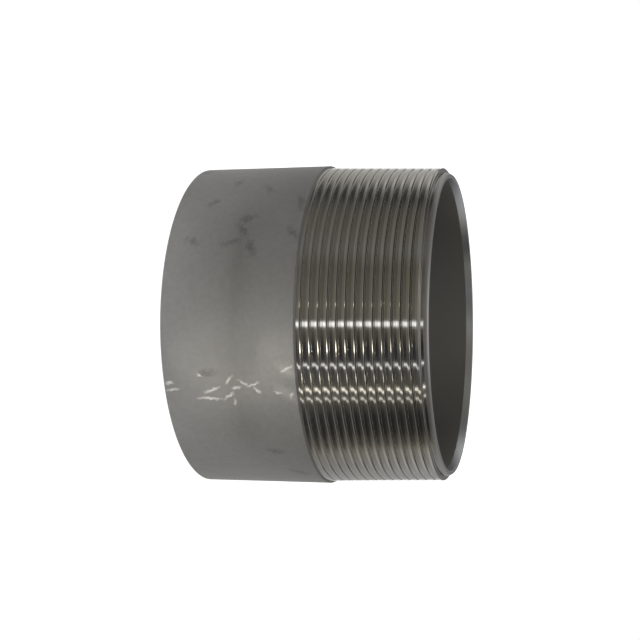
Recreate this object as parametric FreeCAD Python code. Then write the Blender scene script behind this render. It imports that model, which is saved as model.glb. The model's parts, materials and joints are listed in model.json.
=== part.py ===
import FreeCAD, Part
import math
import os

# Weld nipple: a short length of stainless pipe with one plain end for welding
# and one end with a right-hand taper thread. The axis is +Z. It stands on the
# plain end, with the origin in the middle of that end and the thread on top.
# Sizes are in millimetres and degrees. Angles run from +X round +Z.

node_name = "nipple_body"
parts_folder = "parts"

# Pipe
pipe_diameter = 88.9
wall_thickness = 4.5
overall_length = 69.1

# Plain end
weld_edge_break = 0.4
bore_edge_break = 0.3

# Shoulder between the plain part and the turned part
plain_length = 35.5
shoulder_run = 0.5
shoulder_step = 0.55

# Turned cone that carries the thread
taper_on_diameter = 1.0 / 16.0

# Front end: a short lead just below the thread's root, then the face
lead_length = 2.0
lead_relief = 0.02
face_chamfer = 0.55
mouth_step = 0.35
mouth_length = 2.0

# Thread: a V groove that leaves flat crests
threads_per_inch = 11.0
thread_angle = 55.0
thread_depth = 1.25
thread_start_angle = 266.0
full_depth_above_shoulder = 0.65
runout_turns = 0.5
cutter_clearance = 0.6

millimetres_per_inch = 25.4
pitch = millimetres_per_inch / threads_per_inch
taper_on_radius = taper_on_diameter / 2.0
taper_slope_angle = math.degrees(math.atan(taper_on_radius))
flank_slope = math.tan(math.radians(thread_angle / 2.0))
half_mouth = thread_depth * flank_slope
half_cutter = (thread_depth + cutter_clearance) * flank_slope

pipe_radius = pipe_diameter / 2.0
bore_radius = pipe_radius - wall_thickness
cone_start_radius = pipe_radius - shoulder_step
cone_start = plain_length + shoulder_run
lead_start = overall_length - lead_length
groove_front = lead_start + half_mouth
groove_end = cone_start + full_depth_above_shoulder

origin = FreeCAD.Vector(0, 0, 0)
x_axis = FreeCAD.Vector(1, 0, 0)
z_axis = FreeCAD.Vector(0, 0, 1)


def cone_radius(height):
    """Radius of the turned cone at a height, before the thread is cut."""
    return cone_start_radius - (height - cone_start) * taper_on_radius


def groove_angle(height):
    """Angle at which the middle of the groove passes a height."""
    return thread_start_angle + 360.0 * (height - lead_start) / pitch


def make_blank():
    """Pipe piece as turned before threading: one closed outline round the axis."""
    lead_radius = cone_radius(groove_front) - thread_depth - lead_relief
    outline = [
        (bore_radius + bore_edge_break, 0.0),
        (pipe_radius - weld_edge_break, 0.0),
        (pipe_radius, weld_edge_break),
        (pipe_radius, plain_length),
        (cone_start_radius, cone_start),
        (cone_radius(lead_start), lead_start),
        (lead_radius, lead_start),
        (lead_radius, overall_length - face_chamfer),
        (lead_radius - face_chamfer, overall_length),
        (bore_radius + mouth_step, overall_length),
        (bore_radius, overall_length - mouth_length),
        (bore_radius, bore_edge_break),
    ]
    points = [FreeCAD.Vector(radius, 0, height) for radius, height in outline]
    face = Part.Face(Part.makePolygon(points + points[:1]))
    return face.revolve(origin, z_axis, 360)


def groove_section(radius):
    """V section for a surface of this radius, on the plane Y = 0."""
    corners = [
        (radius - thread_depth, 0.0),
        (radius + cutter_clearance, -half_cutter),
        (radius + cutter_clearance, half_cutter),
    ]
    points = [FreeCAD.Vector(distance, 0, height) for distance, height in corners]
    return Part.makePolygon(points + points[:1])


def groove_cutter(top, turns, slope_angle):
    """Cutter that follows the thread down from a height and widens by a slope."""
    radius = cone_radius(top)
    helix = Part.makeHelix(pitch, turns * pitch, radius, slope_angle)
    sweep = Part.BRepOffsetAPI.MakePipeShell(Part.Wire(helix.Edges))
    sweep.setFrenetMode(True)
    sweep.add(groove_section(radius))
    sweep.build()
    sweep.makeSolid()
    cutter = sweep.shape()
    cutter.rotate(origin, x_axis, 180)
    cutter.rotate(origin, z_axis, groove_angle(top))
    cutter.translate(z_axis * top)
    return cutter


def make_nipple():
    """Blank with the groove cut down to the shoulder, where it runs out."""
    full_turns = (groove_front - groove_end) / pitch
    rise = pipe_radius - cone_radius(groove_end) + thread_depth + cutter_clearance
    runout_slope_angle = math.degrees(math.atan2(rise, runout_turns * pitch))
    full_groove = groove_cutter(groove_front, full_turns, taper_slope_angle)
    runout = groove_cutter(groove_end, runout_turns, runout_slope_angle)
    return make_blank().cut(full_groove).cut(runout).Solids[0]


os.makedirs(parts_folder, exist_ok=True)
nipple = make_nipple()
print(node_name, "valid", nipple.isValid(), "volume", round(nipple.Volume, 1))
nipple.exportStep(os.path.join(parts_folder, node_name + ".step"))
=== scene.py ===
import json
import math

import bpy
import numpy as np
from mathutils import Matrix, Vector


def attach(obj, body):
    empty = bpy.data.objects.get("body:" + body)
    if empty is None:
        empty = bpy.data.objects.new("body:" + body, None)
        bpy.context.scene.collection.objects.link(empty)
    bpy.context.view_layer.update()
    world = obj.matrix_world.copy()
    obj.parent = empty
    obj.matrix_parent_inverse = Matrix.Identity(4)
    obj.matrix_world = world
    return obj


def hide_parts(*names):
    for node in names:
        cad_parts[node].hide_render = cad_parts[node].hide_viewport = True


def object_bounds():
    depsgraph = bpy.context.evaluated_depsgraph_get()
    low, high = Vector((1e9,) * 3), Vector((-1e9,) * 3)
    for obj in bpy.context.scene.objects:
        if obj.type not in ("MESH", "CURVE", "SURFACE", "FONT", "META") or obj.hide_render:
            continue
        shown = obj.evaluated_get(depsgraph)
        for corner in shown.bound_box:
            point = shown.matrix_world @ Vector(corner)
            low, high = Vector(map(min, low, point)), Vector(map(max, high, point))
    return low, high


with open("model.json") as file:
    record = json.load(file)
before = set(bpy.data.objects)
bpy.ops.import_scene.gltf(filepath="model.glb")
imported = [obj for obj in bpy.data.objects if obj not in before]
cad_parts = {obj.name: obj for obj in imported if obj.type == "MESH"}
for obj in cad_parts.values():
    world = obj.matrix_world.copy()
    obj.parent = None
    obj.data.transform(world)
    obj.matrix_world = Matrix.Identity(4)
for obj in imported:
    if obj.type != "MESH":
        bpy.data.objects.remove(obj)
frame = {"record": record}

# Weld nipple dressed around its solid. Sizes are in millimetres and angles in
# degrees, unless a name says otherwise, and become metres where meshes are made.
# An angle across the front counts from the side that faces the camera, upward
# in the picture, whose up is -X here because the part stands on its end.

cad_low, cad_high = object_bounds()
metre = 1000.0
node_name = "nipple_body"
piece_name = "threaded_nipple"
map_name = "unrolled"

# Form, as in the solid
bore_mount = next(mount for mount in frame["record"]["mounts"] if mount["name"] == "bore")
pipe_radius = cad_high.x * metre
overall_length = cad_high.z * metre
bore_radius = bore_mount["dims"]["r_mm"]
weld_edge_break = 0.4
bore_edge_break = 0.3
plain_length = 35.5
shoulder_run = 0.5
shoulder_step = 0.55
taper_on_radius = 1.0 / 32.0
lead_length = 2.0
lead_relief = 0.02
face_chamfer = 0.55
mouth_step = 0.35
mouth_length = 2.0
millimetres_per_inch = 25.4
threads_per_inch = 11.0
pitch = millimetres_per_inch / threads_per_inch
flank_angle = 27.5
thread_depth = 1.25
thread_start_angle = 266.0
full_depth_above_shoulder = 0.65
runout_turns = 0.5
cutter_clearance = 0.6

# Flattened crests with a narrow groove between them: how far from the groove's middle the front
# side of one crest and the rear side of the next end, how the front side bends down a little,
# and the rounding of these two edges and of the groove's root
mouth_front = 0.31
mouth_rear = 0.49
bend_width = 0.6
bend_angle = 9.0
bend_rounding = 2.0
front_rounding = 0.12
rear_rounding = 0.03
root_rounding = 0.17

# Rounding of the other edges, and the most that one straight part of a rounding turns
corner_rounding = 0.12
land_rounding = 1.6
arc_step = 32.0

# Mesh: columns round the axis with the seam at the back, rows down the shoulder, turns added
# past both ends of the thread, and the distance within which points of the thread are one
columns = 400
seam_angle = 90.0
shoulder_rows = 5
spare_turns = 2
smallest_gap = 0.012

# Finishes of the faces, in the order of their materials
finishes = ["skin", "crest", "groove", "rim", "mouth", "bore"]

# Camera, fitted to the photograph
camera_distance = 368.66
camera_height_angle = 14.3502
camera_roll = 0.13665
camera_target = (-1.264, 0.0, 31.104)
camera_lens = 73.174
sensor_width = 36.0
nearest_sight = 10.0
farthest_sight = 50000.0

flank_slope = math.tan(math.radians(flank_angle))
half_mouth = thread_depth * flank_slope
cone_start = plain_length + shoulder_run
cone_start_radius = pipe_radius - shoulder_step
lead_start = overall_length - lead_length
groove_front = lead_start + half_mouth
groove_end = cone_start + full_depth_above_shoulder
runout_length = runout_turns * pitch
lead_slope = pitch / (2.0 * math.pi * cone_start_radius)
first_turn = -math.ceil((lead_start - cone_start) / pitch) - spare_turns


def cone_radius(height):
    """Radius of the turned cone before the thread is cut."""
    return cone_start_radius - (height - cone_start) * taper_on_radius


lead_radius = cone_radius(groove_front) - thread_depth - lead_relief
runout_rise = pipe_radius - cone_radius(groove_end) + thread_depth + cutter_clearance


def groove_depth(centre):
    """Depth of the groove where its middle is at a height: it fades out at the shoulder."""
    if centre >= groove_end:
        return thread_depth
    root = cone_radius(groove_end) - thread_depth
    root += runout_rise * (groove_end - centre) / runout_length
    return max(0.0, cone_radius(centre) - root)


def groove_middle(angle, turn):
    """Height of the groove's middle at an angle round the axis, on one turn."""
    return lead_start + pitch * ((angle - thread_start_angle) / 360.0 + turn)


def blank_radius(height):
    """Radius of the turned surface between the shoulder's foot and the lead."""
    if height >= cone_start:
        return cone_radius(height)
    return pipe_radius - shoulder_step * (height - plain_length) / shoulder_run


def rounded_corner(before, corner, after, rounding):
    """Points (radius, height) and outward normals along a corner's rounding."""
    start = (Vector(before) - Vector(corner)).normalized()
    end = (Vector(after) - Vector(corner)).normalized()
    turn = math.pi - start.angle(end)
    first = Vector(corner) + start * rounding * math.tan(turn / 2.0)
    bisector = (start + end).normalized()
    centre = Vector(corner) + bisector * rounding / math.cos(turn / 2.0)
    arm = first - centre
    side = 1.0 if start.cross(end) < 0.0 else -1.0
    steps = max(1, math.ceil(math.degrees(turn) / arc_step))
    rows = []
    for step in range(steps + 1):
        spoke = Matrix.Rotation(side * turn * step / steps, 2) @ arm
        rows.append((centre + spoke, spoke.normalized() * side))
    return rows


def thread_rows():
    """One pitch of the thread: each row's offset from the groove's middle, depth, slope and finish."""
    crest = pitch / 2.0
    bend_drop = bend_width * math.tan(math.radians(bend_angle))
    root_depth = (mouth_front + mouth_rear) / (2.0 * flank_slope) + bend_drop / 2.0
    outline = [
        (-crest, 0.0),
        (-mouth_front - bend_width, 0.0),
        (-mouth_front, -bend_drop),
        (mouth_rear - root_depth * flank_slope, -root_depth),
        (mouth_rear, 0.0),
        (crest, 0.0),
    ]
    corners = [
        (bend_rounding, "crest", "crest"),
        (front_rounding, "groove", "groove"),
        (root_rounding, "groove", "groove"),
        (rear_rounding, "groove", "crest"),
    ]
    rows = []
    for place, (rounding, finish, finish_after) in enumerate(corners, start=1):
        rounded = rounded_corner(*outline[place - 1:place + 2], rounding)
        for step, (point, normal) in enumerate(rounded, start=1):
            strip_finish = finish_after if step == len(rounded) else finish
            rows.append((point.x, -point.y, -normal.x / normal.y, strip_finish))
    return rows


one_pitch = thread_rows()
row_offsets = [row[0] for row in one_pitch]
row_depths = [row[1] for row in one_pitch]


def surface_radius(angle, height):
    """Radius of the threaded surface at an angle and a height."""
    radius = blank_radius(height)
    nearest = round((height - groove_middle(angle, 0)) / pitch)
    for turn in (nearest - 1, nearest, nearest + 1):
        middle = groove_middle(angle, turn)
        share = groove_depth(middle) / thread_depth
        if share > 0.0:
            offset = (height - middle) / share
            depth = share * np.interp(offset, row_offsets, row_depths, left=0.0, right=0.0)
            radius = min(radius, cone_radius(height) - depth)
    return radius


def build_rings():
    """Rings from the thread's front end over the face, bore and plain part to the shoulder."""
    corners = [
        (lead_radius, lead_start, corner_rounding, "crest"),
        (lead_radius, overall_length - face_chamfer, land_rounding, "rim"),
        (lead_radius - face_chamfer, overall_length, corner_rounding, "rim"),
        (bore_radius + mouth_step, overall_length, corner_rounding, "mouth"),
        (bore_radius, overall_length - mouth_length, corner_rounding, "bore"),
        (bore_radius, bore_edge_break, corner_rounding, "bore"),
        (bore_radius + bore_edge_break, 0.0, corner_rounding, "rim"),
        (pipe_radius - weld_edge_break, 0.0, corner_rounding, "rim"),
        (pipe_radius, weld_edge_break, corner_rounding, "skin"),
        (pipe_radius, plain_length, corner_rounding, "skin"),
    ]
    outline = [(cone_radius(lead_start), lead_start)]
    outline += [corner[:2] for corner in corners]
    outline += [(cone_start_radius, cone_start)]
    rings = []
    for place, (_, _, rounding, finish) in enumerate(corners, start=1):
        for point, normal in rounded_corner(*outline[place - 1:place + 2], rounding):
            rings.append((point.x, point.y, normal.x, normal.y, finish))
    return rings


class Grid:
    """Collects points, and faces with the finish, corner normals and corner columns of each."""

    def __init__(self):
        self.points = []
        self.faces = []
        self.finishes = []
        self.normals = []
        self.columns = []

    def point(self, radius, angle, height):
        """Add a point and hand back its number."""
        turn = math.radians(angle)
        self.points.append((radius * math.cos(turn), radius * math.sin(turn), height))
        return len(self.points) - 1

    def face(self, corner, row, column, finish):
        """Add the face from a row and a column to the next ones, leaving out corners that coincide."""
        kept = []
        for place in ((row, column), (row, column + 1), (row + 1, column + 1), (row + 1, column)):
            found = corner(*place)
            if not any(found[0] == other[0] for other in kept):
                kept.append(found)
        if len(kept) < 3:
            return
        self.faces.append([point for point, _, _ in kept])
        self.normals.append([normal for _, normal, _ in kept])
        self.columns.append([column for _, _, column in kept])
        self.finishes.append(finishes.index(finish))


def turned_normal(angle, outward, upward, helical=0.0):
    """Normal in space from its outward, upward and round-the-axis parts."""
    turn = math.radians(angle)
    x = outward * math.cos(turn) - helical * math.sin(turn)
    y = outward * math.sin(turn) + helical * math.cos(turn)
    return Vector((x, y, upward)).normalized()


def column_angle(column):
    """Angle round the axis at which a column stands."""
    return seam_angle + 360.0 * column / columns


def add_rings(grid):
    """Rings round the axis, from the border ring in front of the thread to the one behind it."""
    angles = [column_angle(column) for column in range(columns)]
    rings = build_rings()
    step_foot = rings[0][0]
    shoulder_foot = rings[-1][1]
    radii = [max(step_foot, surface_radius(angle, lead_start)) for angle in angles]
    ids = [[grid.point(radius, angle, lead_start) for radius, angle in zip(radii, angles)]]
    rows = [(0.0, 1.0, "rim")]
    for radius, height, outward, upward, finish in rings:
        ids.append([grid.point(radius, angle, height) for angle in angles])
        rows.append((outward, upward, finish))
    for step in range(1, shoulder_rows + 1):
        height = shoulder_foot + (cone_start - shoulder_foot) * step / shoulder_rows
        ids.append([grid.point(surface_radius(angle, height), angle, height) for angle in angles])
        rows.append((shoulder_run, shoulder_step, "skin"))

    def corner(row, column):
        """Point, normal and column of a corner. Past the last column comes the first again."""
        outward, upward, _ = rows[row]
        return ids[row][column % columns], turned_normal(column_angle(column), outward, upward), column

    for row in range(len(rows) - 1):
        for column in range(columns):
            grid.face(corner, row, column, rows[row][2])
    return ids[0], ids[-1]


def thread_column(grid, angle, top, bottom):
    """Points of all the thread's rows at one angle. Rows past its ends share the border points."""
    found = []
    for turn in range(first_turn, spare_turns):
        middle = groove_middle(angle, turn)
        share = groove_depth(middle) / thread_depth
        shared = None
        for offset, depth, _, _ in one_pitch:
            height = middle + offset * share
            if height <= cone_start + smallest_gap:
                found.append(bottom)
            elif height >= lead_start - smallest_gap:
                found.append(top)
            elif share * thread_depth < smallest_gap:
                if shared is None:
                    shared = grid.point(cone_radius(middle), angle, middle)
                found.append(shared)
            else:
                found.append(grid.point(cone_radius(height) - depth * share, angle, height))
    return found


def add_thread(grid, top_border, bottom_border):
    """Rows that follow the helix, held at the two border rings."""
    per_turn = len(one_pitch)
    grown = [
        thread_column(grid, column_angle(column), top, bottom)
        for column, (top, bottom) in enumerate(zip(top_border, bottom_border))
    ]
    count = len(grown[0])

    def corner(row, column):
        """Point, normal and column of a corner. Past the last column the rows are a turn further."""
        slope = one_pitch[row % per_turn][2] - taper_on_radius
        normal = turned_normal(column_angle(column), 1.0, -slope, slope * lead_slope)
        shifted = row + per_turn * (column // columns)
        return grown[column % columns][min(shifted, count - 1)], normal, column

    for column in range(columns):
        for row in range(count - 1):
            grid.face(corner, row, column, one_pitch[row % per_turn][3])


def make_piece():
    """One closed mesh for the whole nipple, with the finish of each face and a map for the marks."""
    grid = Grid()
    top_border, bottom_border = add_rings(grid)
    add_thread(grid, top_border, bottom_border)
    mesh = bpy.data.meshes.new(piece_name)
    points = np.array(grid.points) / metre
    used = sorted({corner for face in grid.faces for corner in face})
    renumber = {old: new for new, old in enumerate(used)}
    faces = [[renumber[corner] for corner in face] for face in grid.faces]
    mesh.from_pydata(points[used].tolist(), [], faces)
    mesh.polygons.foreach_set("material_index", grid.finishes)
    mesh.polygons.foreach_set("use_smooth", [True] * len(faces))
    unrolled = mesh.uv_layers.new(name=map_name)
    flat = []
    for face, face_columns in zip(grid.faces, grid.columns):
        for corner, column in zip(face, face_columns):
            flat.append(math.radians(180.0 - 360.0 * column / columns) * pipe_radius)
            flat.append(grid.points[corner][2])
    unrolled.data.foreach_set("uv", flat)
    mesh.normals_split_custom_set([normal for face in grid.normals for normal in face])
    mesh.validate(clean_customdata=False)
    thing = bpy.data.objects.new(piece_name, mesh)
    bpy.context.scene.collection.objects.link(thing)
    return thing


# Warmth of greys: what the blue loses for what the red gains, and the usual warmth
blue_loss = 2.5
plain_warmth = 0.01


def grey(level, warmth=0.0):
    """Colour of a plain grey, a little warmer or cooler."""
    return (level * (1.0 + warmth), level, level * (1.0 - blue_loss * warmth), 1.0)


# Patterns are in cells per millimetre along X, Y and Z. Drift is the noise by which the marks'
# edges wander. A quarter turn lays the lines of brushed metal round the axis.
coarse_detail = 3.0
fine_detail = 2.0
drift_cells = 0.9
noise_middle = 0.5
quarter_turn = 0.25

# Skin of the plain part
skin_dark = 0.174
skin_light = 0.222
skin_roughness = (0.56, 0.64)
skin_edge_tint = 0.8
cloud_cells = (0.06, 0.06, 0.05)
cloud_detail = 5.0
cloud_breakup = 0.6
cloud_range = (0.3, 0.7)
speck_grey = 0.26
speck_cells = (0.7, 0.7, 0.7)
speck_range = (0.3, 0.75)
speck_share = 0.25
grain_cells = (2.5, 2.5, 2.5)
grain_strength = 0.12
grain_depth = 0.05

# Marks on the plain part, each from one place to another: angle and height, angle and height
smudges = [
    (70.6, 1.7, 73.9, 3.2), (57.1, 14.1, 62.0, 14.7), (45.6, 9.1, 47.7, 10.9), (37.4, 18.8, 39.5, 22.8),
    (36.1, 18.4, 31.0, 21.3), (29.8, 5.7, 29.0, 8.0), (28.0, 15.2, 29.4, 19.9), (29.4, 22.0, 23.7, 24.0),
    (49.9, 33.1, 41.8, 35.0), (33.9, 32.4, 29.8, 35.0), (56.4, 22.6, 52.2, 25.6),
    (-47.6, 24.6, -48.5, 28.8), (-61.0, 28.8, -64.6, 32.6), (-16.3, 10.3, -15.6, 14.2),
]
scratches = [
    (-19.9, 0.7, -19.2, 2.5), (-22.3, 0.7, -21.7, 4.1), (-24.8, 8.1, -25.2, 16.2),
    (-25.2, 16.2, -22.6, 18.9), (-23.1, 10.8, -20.8, 15.3), (-21.3, 18.5, -20.7, 20.7),
    (-18.3, 20.4, -20.3, 22.9), (-20.7, 22.8, -18.9, 25.9), (-21.0, 24.4, -22.8, 25.8),
    (-16.3, 9.5, -17.0, 10.5), (-22.4, 29.8, -22.7, 31.4), (-15.4, 31.7, -13.3, 34.9),
    (-24.5, 33.8, -22.3, 34.6), (-19.7, 17.0, -16.9, 18.6), (-27.4, 18.6, -25.5, 19.1),
]
patches = [(-13.5, 31.8, -16.3, 35.4), (-21.0, 30.7, -25.1, 35.2)]

# Kinds of marks: where they are, width, how far their edges wander, how strongly they show, grey
mark_kinds = [
    (smudges, 2.8, 3.2, 0.6, 0.09),
    (patches, 4.5, 2.0, 0.4, 0.42),
    (scratches, 1.05, 1.5, 0.85, 0.6),
]

# Bare metal, in the order of the finishes after the skin. Greys are level and warmth.
line_depth = 0.02
thread_tones = (0.08, 0.08, 0.3)
crest_lines = (0.05, 0.05, 3.0)
turning_lines = (0.06, 0.06, 9.0)
bore_tones = (0.05, 0.05, 0.04)
bare_looks = [
    dict(name="bright_crest", tones=thread_tones, dark=(0.33, 0.01), light=(0.36, 0.02),
         roughness=0.11, lines=crest_lines, line_strength=0.04, brushed=0.5, edge_tint=0.6),
    # The groove's greys are darker than the crest's: this is painted shade in the groove.
    dict(name="groove_painted_shade", tones=thread_tones, dark=(0.25, 0.02), light=(0.29, 0.03),
         roughness=0.09, brushed=0.6),
    dict(name="turned_face", tones=turning_lines, detail=fine_detail, dark=(0.23, 0.01),
         light=(0.29, 0.01), roughness=0.42, lines=turning_lines, line_strength=0.1, edge_tint=0.8),
    dict(name="turned_mouth", tones=turning_lines, detail=fine_detail, dark=(0.39, -0.03),
         light=(0.47, -0.03), roughness=0.3, lines=turning_lines, line_strength=0.1),
    dict(name="bore_skin", tones=bore_tones, dark=(0.2, 0.02), light=(0.26, 0.02), roughness=0.55),
]


class Nodes:
    """Short helpers to build the nodes of a material or of the world."""

    def __init__(self, owner, output="ShaderNodeOutputMaterial"):
        owner.use_nodes = True
        self.owner = owner
        self.tree = owner.node_tree
        self.tree.nodes.clear()
        self.output = self.add(output, {})

    def add(self, kind, inputs, **settings):
        """Add a node with settings. Each of its inputs given here is linked or set."""
        node = self.tree.nodes.new(kind)
        for name, value in settings.items():
            setattr(node, name, value)
        for key, value in inputs.items():
            if isinstance(value, bpy.types.NodeSocket):
                self.tree.links.new(value, node.inputs[key])
            else:
                node.inputs[key].default_value = value
        return node

    def show(self, shader):
        """Link a shader to the output, and hand back the material or the world."""
        self.tree.links.new(shader, self.output.inputs["Surface"])
        return self.owner

    def math(self, operation, *inputs):
        return self.add("ShaderNodeMath", dict(enumerate(inputs)), operation=operation).outputs[0]

    def vector(self, operation, *inputs):
        return self.add("ShaderNodeVectorMath", dict(enumerate(inputs)), operation=operation).outputs[0]

    def noise(self, cells, detail=coarse_detail, breakup=0.5):
        position = self.add("ShaderNodeTexCoord", {}).outputs["Object"]
        scale = [metre * count for count in cells]
        place = self.add("ShaderNodeMapping", {"Vector": position, "Scale": scale}).outputs[0]
        inputs = {"Vector": place, "Scale": 1.0, "Detail": detail, "Roughness": breakup}
        return self.add("ShaderNodeTexNoise", inputs).outputs["Fac"]

    def remap(self, value, low, high, new_low, new_high):
        inputs = {"Value": value, "From Min": low, "From Max": high, "To Min": new_low, "To Max": new_high}
        return self.add("ShaderNodeMapRange", inputs, interpolation_type="SMOOTHSTEP").outputs["Result"]

    def mix(self, share, first, second):
        """Mix two colours, which are inputs 6 and 7 of the node and its output 2."""
        return self.add("ShaderNodeMix", {0: share, 6: first, 7: second}, data_type="RGBA").outputs[2]

    def bump(self, height, strength, depth):
        inputs = {"Height": height, "Strength": strength, "Distance": depth / metre}
        return self.add("ShaderNodeBump", inputs).outputs[0]

    def rays(self, *kinds):
        """One for light paths of these kinds, nought for the others."""
        path = self.add("ShaderNodeLightPath", {})
        found = path.outputs[kinds[0]]
        for kind in kinds[1:]:
            found = self.math("MAXIMUM", found, path.outputs[kind])
        return found

    def glow(self, color, strength):
        return self.add("ShaderNodeEmission", {"Color": color, "Strength": strength}).outputs[0]

    def metal(self, color, roughness, normal=None, brushed=0.0, edge_tint=1.0):
        """Metal, which may be brushed round the axis and darker where it is seen at a low angle."""
        inputs = {
            "Metallic": 1.0,
            "Base Color": color,
            "Roughness": roughness,
            "Specular Tint": grey(edge_tint),
            "Anisotropic": brushed,
        }
        if brushed > 0.0:
            tangent = self.add("ShaderNodeTangent", {}, direction_type="RADIAL", axis="Z")
            inputs["Tangent"] = tangent.outputs[0]
            inputs["Anisotropic Rotation"] = quarter_turn
        if normal is not None:
            inputs["Normal"] = normal
        return self.show(self.add("ShaderNodeBsdfPrincipled", inputs).outputs[0])

    def stroke(self, source, ends, width):
        """Mask of a soft stroke between two places (angle, height) on the unrolled surface."""
        first = Vector((math.radians(ends[0]) * pipe_radius, ends[1]))
        second = Vector((math.radians(ends[2]) * pipe_radius, ends[3]))
        along = second - first
        middle = (first + second) / 2.0
        inputs = {
            "Vector": source,
            "Location": (middle.x, middle.y, 0.0),
            "Rotation": (0.0, 0.0, math.atan2(along.y, along.x)),
            "Scale": ((along.length + width) / 2.0, width / 2.0, 1.0),
        }
        place = self.add("ShaderNodeMapping", inputs, vector_type="TEXTURE").outputs[0]
        blob = self.add("ShaderNodeTexGradient", {"Vector": place}, gradient_type="SPHERICAL")
        return blob.outputs["Fac"]

    def strokes(self, marks, width, wander):
        """Mask of many strokes, with edges that wander a little."""
        flat = self.add("ShaderNodeUVMap", {}, uv_map=map_name).outputs[0]
        drift = self.add("ShaderNodeTexNoise", {"Vector": flat, "Scale": drift_cells})
        shift = self.vector("SUBTRACT", drift.outputs["Color"], [noise_middle] * 3)
        source = self.vector("ADD", flat, self.vector("MULTIPLY", shift, [wander] * 3))
        total = self.stroke(source, marks[0], width)
        for ends in marks[1:]:
            total = self.math("MAXIMUM", total, self.stroke(source, ends, width))
        return total


def skin_material():
    """Dull pickled skin of the plain part, smudged and scratched."""
    nodes = Nodes(bpy.data.materials.new("pickled_skin"))
    clouds = nodes.noise(cloud_cells, cloud_detail, cloud_breakup)
    color = nodes.mix(clouds, grey(skin_dark, plain_warmth), grey(skin_light, plain_warmth))
    specks = nodes.remap(nodes.noise(speck_cells, fine_detail), *speck_range, 0.0, speck_share)
    color = nodes.mix(specks, color, grey(speck_grey, plain_warmth))
    for marks, width, wander, strength, level in mark_kinds:
        mask = nodes.math("MULTIPLY", nodes.strokes(marks, width, wander), strength)
        color = nodes.mix(mask, color, grey(level, plain_warmth))
    roughness = nodes.remap(clouds, *cloud_range, *skin_roughness)
    grain = nodes.bump(nodes.noise(grain_cells, fine_detail), grain_strength, grain_depth)
    return nodes.metal(color, roughness, grain, edge_tint=skin_edge_tint)


def bare_material(name, tones, dark, light, roughness, detail=coarse_detail,
                  lines=None, line_strength=0.0, brushed=0.0, edge_tint=1.0):
    """Bare metal between two greys, with fine lines round the axis where it has any."""
    nodes = Nodes(bpy.data.materials.new(name))
    color = nodes.mix(nodes.noise(tones, detail), grey(*dark), grey(*light))
    normal = None
    if lines is not None:
        normal = nodes.bump(nodes.noise(lines, fine_detail), line_strength, line_depth)
    return nodes.metal(color, roughness, normal, brushed, edge_tint)


# Stage: a white floor that reaches to the picture's edges, and cards round the camera's side
floor_size = 4000.0
floor_paint = 0.8
floor_glow = 0.8
world_level = 0.45
card_inner_radius = 165.0
card_radius = 640.0
card_lift = 0.5
card_foot = 20.0
card_height = 420.0
card_reach = 150.0
card_span = 2.0 * card_reach
card_parts = 104
ramp_middle = 0.5

# Shades of the cards: angle and level
floor_shades = [
    (-150.0, 0.8), (-140.0, 0.88), (-130.0, 0.83), (-118.0, 0.63), (-108.0, 0.51), (-98.0, 0.44),
    (-89.0, 0.14), (-79.0, 0.05), (-69.0, 0.04), (-62.0, 0.05), (-55.0, 0.115), (-39.0, 0.145),
    (-30.0, 0.11), (-24.0, 0.065), (-19.0, 0.05), (-13.0, 0.05), (-6.0, 0.12), (10.0, 0.22),
    (20.0, 0.205), (39.0, 0.155), (51.0, 0.235), (70.0, 0.185), (88.0, 0.145), (98.0, 0.075),
    (103.0, 0.1), (108.0, 0.16), (113.0, 0.36), (118.0, 0.56), (124.0, 0.78), (134.0, 1.0), (150.0, 1.2),
]
wall_shades = [
    (-150.0, 0.75), (-130.0, 0.9), (-118.0, 0.9), (-100.0, 0.7), (-90.0, 0.3), (-79.0, 0.1),
    (-66.0, 0.07), (-56.0, 0.15), (-40.0, 0.17), (-30.0, 0.2), (-24.0, 0.13), (-18.0, 0.16),
    (-12.0, 0.25), (-6.0, 0.25), (10.0, 0.34), (20.0, 0.28), (39.0, 0.24), (51.0, 0.36),
    (79.0, 0.26), (98.0, 0.17), (108.0, 0.42), (118.0, 1.05), (130.0, 1.1), (150.0, 0.9),
]

# Spans of the cards that are warmer: from angle, to angle and warmth
warm_spans = [
    (-106.0, -76.0, 0.06), (-58.0, -38.0, 0.07), (-12.0, 46.0, 0.08),
    (46.0, 64.0, 0.03), (64.0, 84.0, 0.07), (84.0, 150.0, 0.02),
]

# Ribbon lamps that the crests show as rows: angle of the row, its width, brightness on the floor
# and on the wall, how far the wall part leans, and warmth
lamp_lift = 1.0
ribbon_gap = 2.0
ribbon_low = 24.0
ribbon_top = 175.0
crest_tilts = (math.degrees(taper_on_radius),)
ribbons = [
    (0.35, 1.5, 2.3, 3.3, 0.0, 0.0),
    (-13.1, 0.6, 3.2, 4.2, -2.6, 0.01),
    (-21.7, 0.9, 3.4, 3.2, -2.6, 0.05),
    (-25.1, 0.7, 2.4, 2.2, -2.8, 0.04),
]

# Lamps on the floor close by that only the grooves show, by way of both flanks: angles between
# them, brightness and warmth; and a low white screen that hides them from the plain part
drop_top = 75.0
flank_tilt = 90.0 - flank_angle
groove_tilts = (flank_tilt, -flank_tilt)
drops = [
    (-5.4, -6.4, 19.0, 0.04),
    (-6.4, -7.4, 38.0, 0.04),
    (-7.4, -8.8, 56.0, 0.04),
    (-16.4, -18.4, 18.0, 0.04),
    (6.1, 6.7, 18.0, 0.02),
]
screen_radius = 56.0
screen_top = 18.0
screen_reach = 50.0
screen_glow = 0.85

# Softbox overhead, aimed at the origin, with a brightness where 1 shows white
softbox_place = (0.0, -100.0, 900.0)
softbox_size = 700.0
softbox_brightness = 1.2


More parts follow.
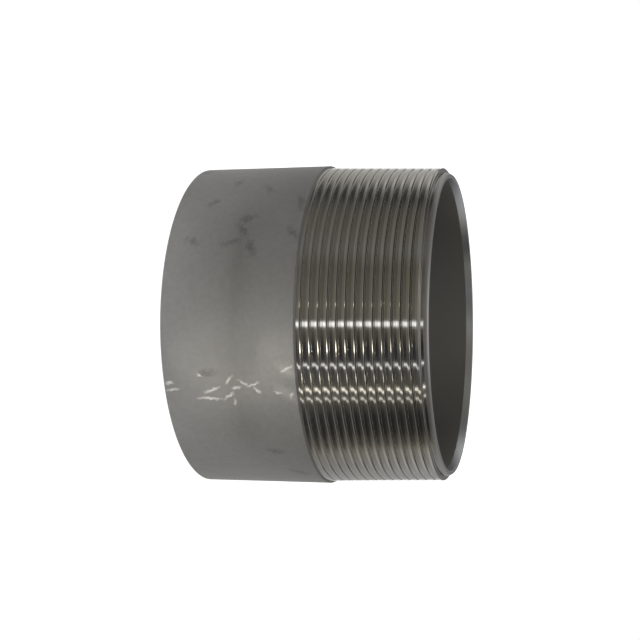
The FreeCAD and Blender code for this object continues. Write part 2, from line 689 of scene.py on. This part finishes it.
def stage_mesh(name, points, faces, material, camera_sees=False):
    """Mesh of the stage, from points in millimetres."""
    mesh = bpy.data.meshes.new(name)
    mesh.from_pydata([tuple(value / metre for value in point) for point in points], [], faces)
    mesh.materials.append(material)
    thing = bpy.data.objects.new(name, mesh)
    bpy.context.scene.collection.objects.link(thing)
    thing.visible_camera = camera_sees
    thing.visible_shadow = camera_sees


def floor_material():
    """White floor for the camera and in reflections, which keeps a little of the shadow."""
    nodes = Nodes(bpy.data.materials.new("floor_white"))
    paint = nodes.add("ShaderNodeBsdfDiffuse", {"Color": grey(floor_paint)}).outputs[0]
    seen = nodes.rays("Is Camera Ray", "Is Glossy Ray", "Is Transmission Ray")
    glow = nodes.glow(grey(1.0), nodes.math("MULTIPLY", seen, floor_glow))
    return nodes.show(nodes.add("ShaderNodeAddShader", {0: paint, 1: glow}).outputs[0])


def glow_material(strength, warmth):
    nodes = Nodes(bpy.data.materials.new("glow"))
    return nodes.show(nodes.glow(grey(1.0, warmth), strength))


def shade_color(angle, shade):
    """Colour of a card at an angle: a little warmer in some spans."""
    for span_start, span_end, warmth in warm_spans:
        if span_start <= angle <= span_end:
            return grey(shade, warmth)
    return grey(shade, plain_warmth)


def card_material(name, shades):
    """Glow that changes with the angle round the axis, from the camera's side."""
    nodes = Nodes(bpy.data.materials.new(name))
    position = nodes.add("ShaderNodeTexCoord", {}).outputs["Object"]
    x, y, _ = nodes.add("ShaderNodeSeparateXYZ", {0: position}).outputs
    turn = nodes.math("ARCTAN2", nodes.math("MULTIPLY", x, -1.0), nodes.math("MULTIPLY", y, -1.0))
    share = nodes.math("ADD", nodes.math("DIVIDE", turn, math.radians(card_span)), ramp_middle)
    ramp = nodes.add("ShaderNodeValToRGB", {0: share})
    stops = ramp.color_ramp.elements
    while len(stops) < len(shades):
        stops.new(ramp_middle)
    brightest = max(shade for _, shade in shades)
    for stop, (angle, shade) in zip(stops, shades):
        stop.position = angle / card_span + ramp_middle
        stop.color = shade_color(angle, shade / brightest)
    return nodes.show(nodes.glow(ramp.outputs[0], brightest))


def ring_point(radius, angle, height):
    """Point at an angle round the axis from the camera's side, upward in the picture."""
    turn = math.radians(angle)
    return (-radius * math.sin(turn), -radius * math.cos(turn), height)


def ring_card(name, outline, material, reach=card_reach):
    """Card that follows an outline of radius and height round the camera's side."""
    points = []
    faces = []
    rows = len(outline)
    for part in range(card_parts + 1):
        angle = -reach + 2.0 * reach * part / card_parts
        points += [ring_point(radius, angle, height) for radius, height in outline]
    for part in range(card_parts):
        for row in range(rows - 1):
            first = part * rows + row
            faces.append((first, first + 1, first + rows + 1, first + rows))
    stage_mesh(name, points, faces, material)


def make_stage():
    """Floor, and the cards on it and up round the camera's side."""
    half = floor_size / 2.0
    corners = [(-half, -half, 0.0), (half, -half, 0.0), (half, half, 0.0), (-half, half, 0.0)]
    stage_mesh("floor", corners, [(0, 1, 2, 3)], floor_material(), camera_sees=True)
    low_outline = [(card_inner_radius, card_lift), (card_radius, card_lift), (card_radius, card_foot)]
    high_outline = [(card_radius, card_foot), (card_radius, card_height)]
    ring_card("floor_card", low_outline, card_material("floor_card_grey", floor_shades))
    ring_card("wall_card", high_outline, card_material("wall_card_grey", wall_shades))


def set_world():
    """World that is white for the camera and dimmer for all other light."""
    world = bpy.data.worlds.new("studio")
    bpy.context.scene.world = world
    nodes = Nodes(world, "ShaderNodeOutputWorld")
    level = nodes.math("MAXIMUM", nodes.rays("Is Camera Ray", "Is Transmission Ray"), world_level)
    nodes.show(nodes.add("ShaderNodeBackground", {"Color": grey(1.0), "Strength": level}).outputs[0])


def camera_forward():
    """Direction of the camera's sight, down towards the floor by its height angle."""
    rise = math.radians(camera_height_angle)
    return Vector((0.0, math.cos(rise), -math.sin(rise)))


def camera_place():
    return Vector(camera_target) - camera_forward() * camera_distance


def floor_point(angle, height, tilts):
    """Where the camera's sight comes down just off the floor, by way of surfaces of these tilts."""
    surface = Vector(ring_point(cone_radius(height), angle, height))
    sight = surface - camera_place()
    for tilt in tilts:
        rise = math.radians(tilt)
        sight = sight.reflect(Vector(ring_point(math.cos(rise), angle, math.sin(rise))))
    return surface + sight * ((lamp_lift - surface.z) / sight.z)


def make_floor_lamp(name, angles, heights, tilts, strength, warmth):
    """Lamp just off the floor that the camera sees in a patch of the thread. Hands back its corners."""
    patch = [
        (angles[0], heights[0]), (angles[1], heights[0]), (angles[1], heights[1]), (angles[0], heights[1])
    ]
    corners = [floor_point(angle, height, tilts) for angle, height in patch]
    stage_mesh(name, corners, [(0, 1, 2, 3)], glow_material(strength, warmth))
    return corners


def make_ribbon(number, row_angle, width, floor_shade, wall_shade, lean, warmth):
    """Lamp along the floor and up the wall that lights one row of crests."""
    angles = (row_angle - width / 2.0, row_angle + width / 2.0)
    heights = (ribbon_low, lead_start)
    corners = make_floor_lamp(f"floor_ribbon_{number}", angles, heights, crest_tilts, floor_shade, warmth)
    second, first = [math.degrees(math.atan2(-corner.x, -corner.y)) for corner in corners[2:]]
    radius = card_radius - ribbon_gap
    points = [
        ring_point(radius, first, lamp_lift),
        ring_point(radius, second, lamp_lift),
        ring_point(radius, second + lean, ribbon_top),
        ring_point(radius, first + lean, ribbon_top),
    ]
    stage_mesh(f"wall_ribbon_{number}", points, [(0, 1, 2, 3)], glow_material(wall_shade, warmth))


def make_softbox():
    data = bpy.data.lights.new("top_softbox", "AREA")
    data.size = softbox_size / metre
    data.energy = softbox_brightness * math.pi * data.size ** 2
    lamp = bpy.data.objects.new("top_softbox", data)
    bpy.context.scene.collection.objects.link(lamp)
    lamp.location = Vector(softbox_place) / metre
    lamp.rotation_euler = (-lamp.location).to_track_quat("-Z", "Y").to_euler()
    lamp.visible_camera = False


def make_lamps():
    """Ribbons for the crests, lamps for the grooves, the low screen and the softbox."""
    for number, ribbon in enumerate(ribbons, start=1):
        make_ribbon(number, *ribbon)
    heights = (cone_start, drop_top)
    for number, (first, second, strength, warmth) in enumerate(drops, start=1):
        make_floor_lamp(f"groove_lamp_{number}", (first, second), heights, groove_tilts, strength, warmth)
    screen = [(screen_radius, lamp_lift), (screen_radius, screen_top)]
    ring_card("low_screen", screen, glow_material(screen_glow, plain_warmth), screen_reach)
    make_softbox()


def make_camera():
    """Camera of the photograph, turned a quarter so that the part lies on its side."""
    data = bpy.data.cameras.new("camera")
    data.lens = camera_lens
    data.sensor_width = sensor_width
    data.clip_start = nearest_sight / metre
    data.clip_end = farthest_sight / metre
    camera = bpy.data.objects.new("camera", data)
    bpy.context.scene.collection.objects.link(camera)
    roll = math.radians(camera_roll)
    forward = camera_forward()
    level_up = Vector((-1.0, 0.0, 0.0))
    level_right = forward.cross(level_up)
    right = level_right * math.cos(roll) - level_up * math.sin(roll)
    up = level_up * math.cos(roll) + level_right * math.sin(roll)
    turn = Matrix((right, up, -forward)).transposed()
    camera.matrix_world = Matrix.Translation(camera_place() / metre) @ turn.to_4x4()
    bpy.context.scene.camera = camera


make_camera()
piece = make_piece()
piece.data.materials.append(skin_material())
for look in bare_looks:
    piece.data.materials.append(bare_material(**look))
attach(piece, "root")
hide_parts(node_name)
make_stage()
set_world()
make_lamps()
bpy.context.scene.view_settings.view_transform = "Standard"
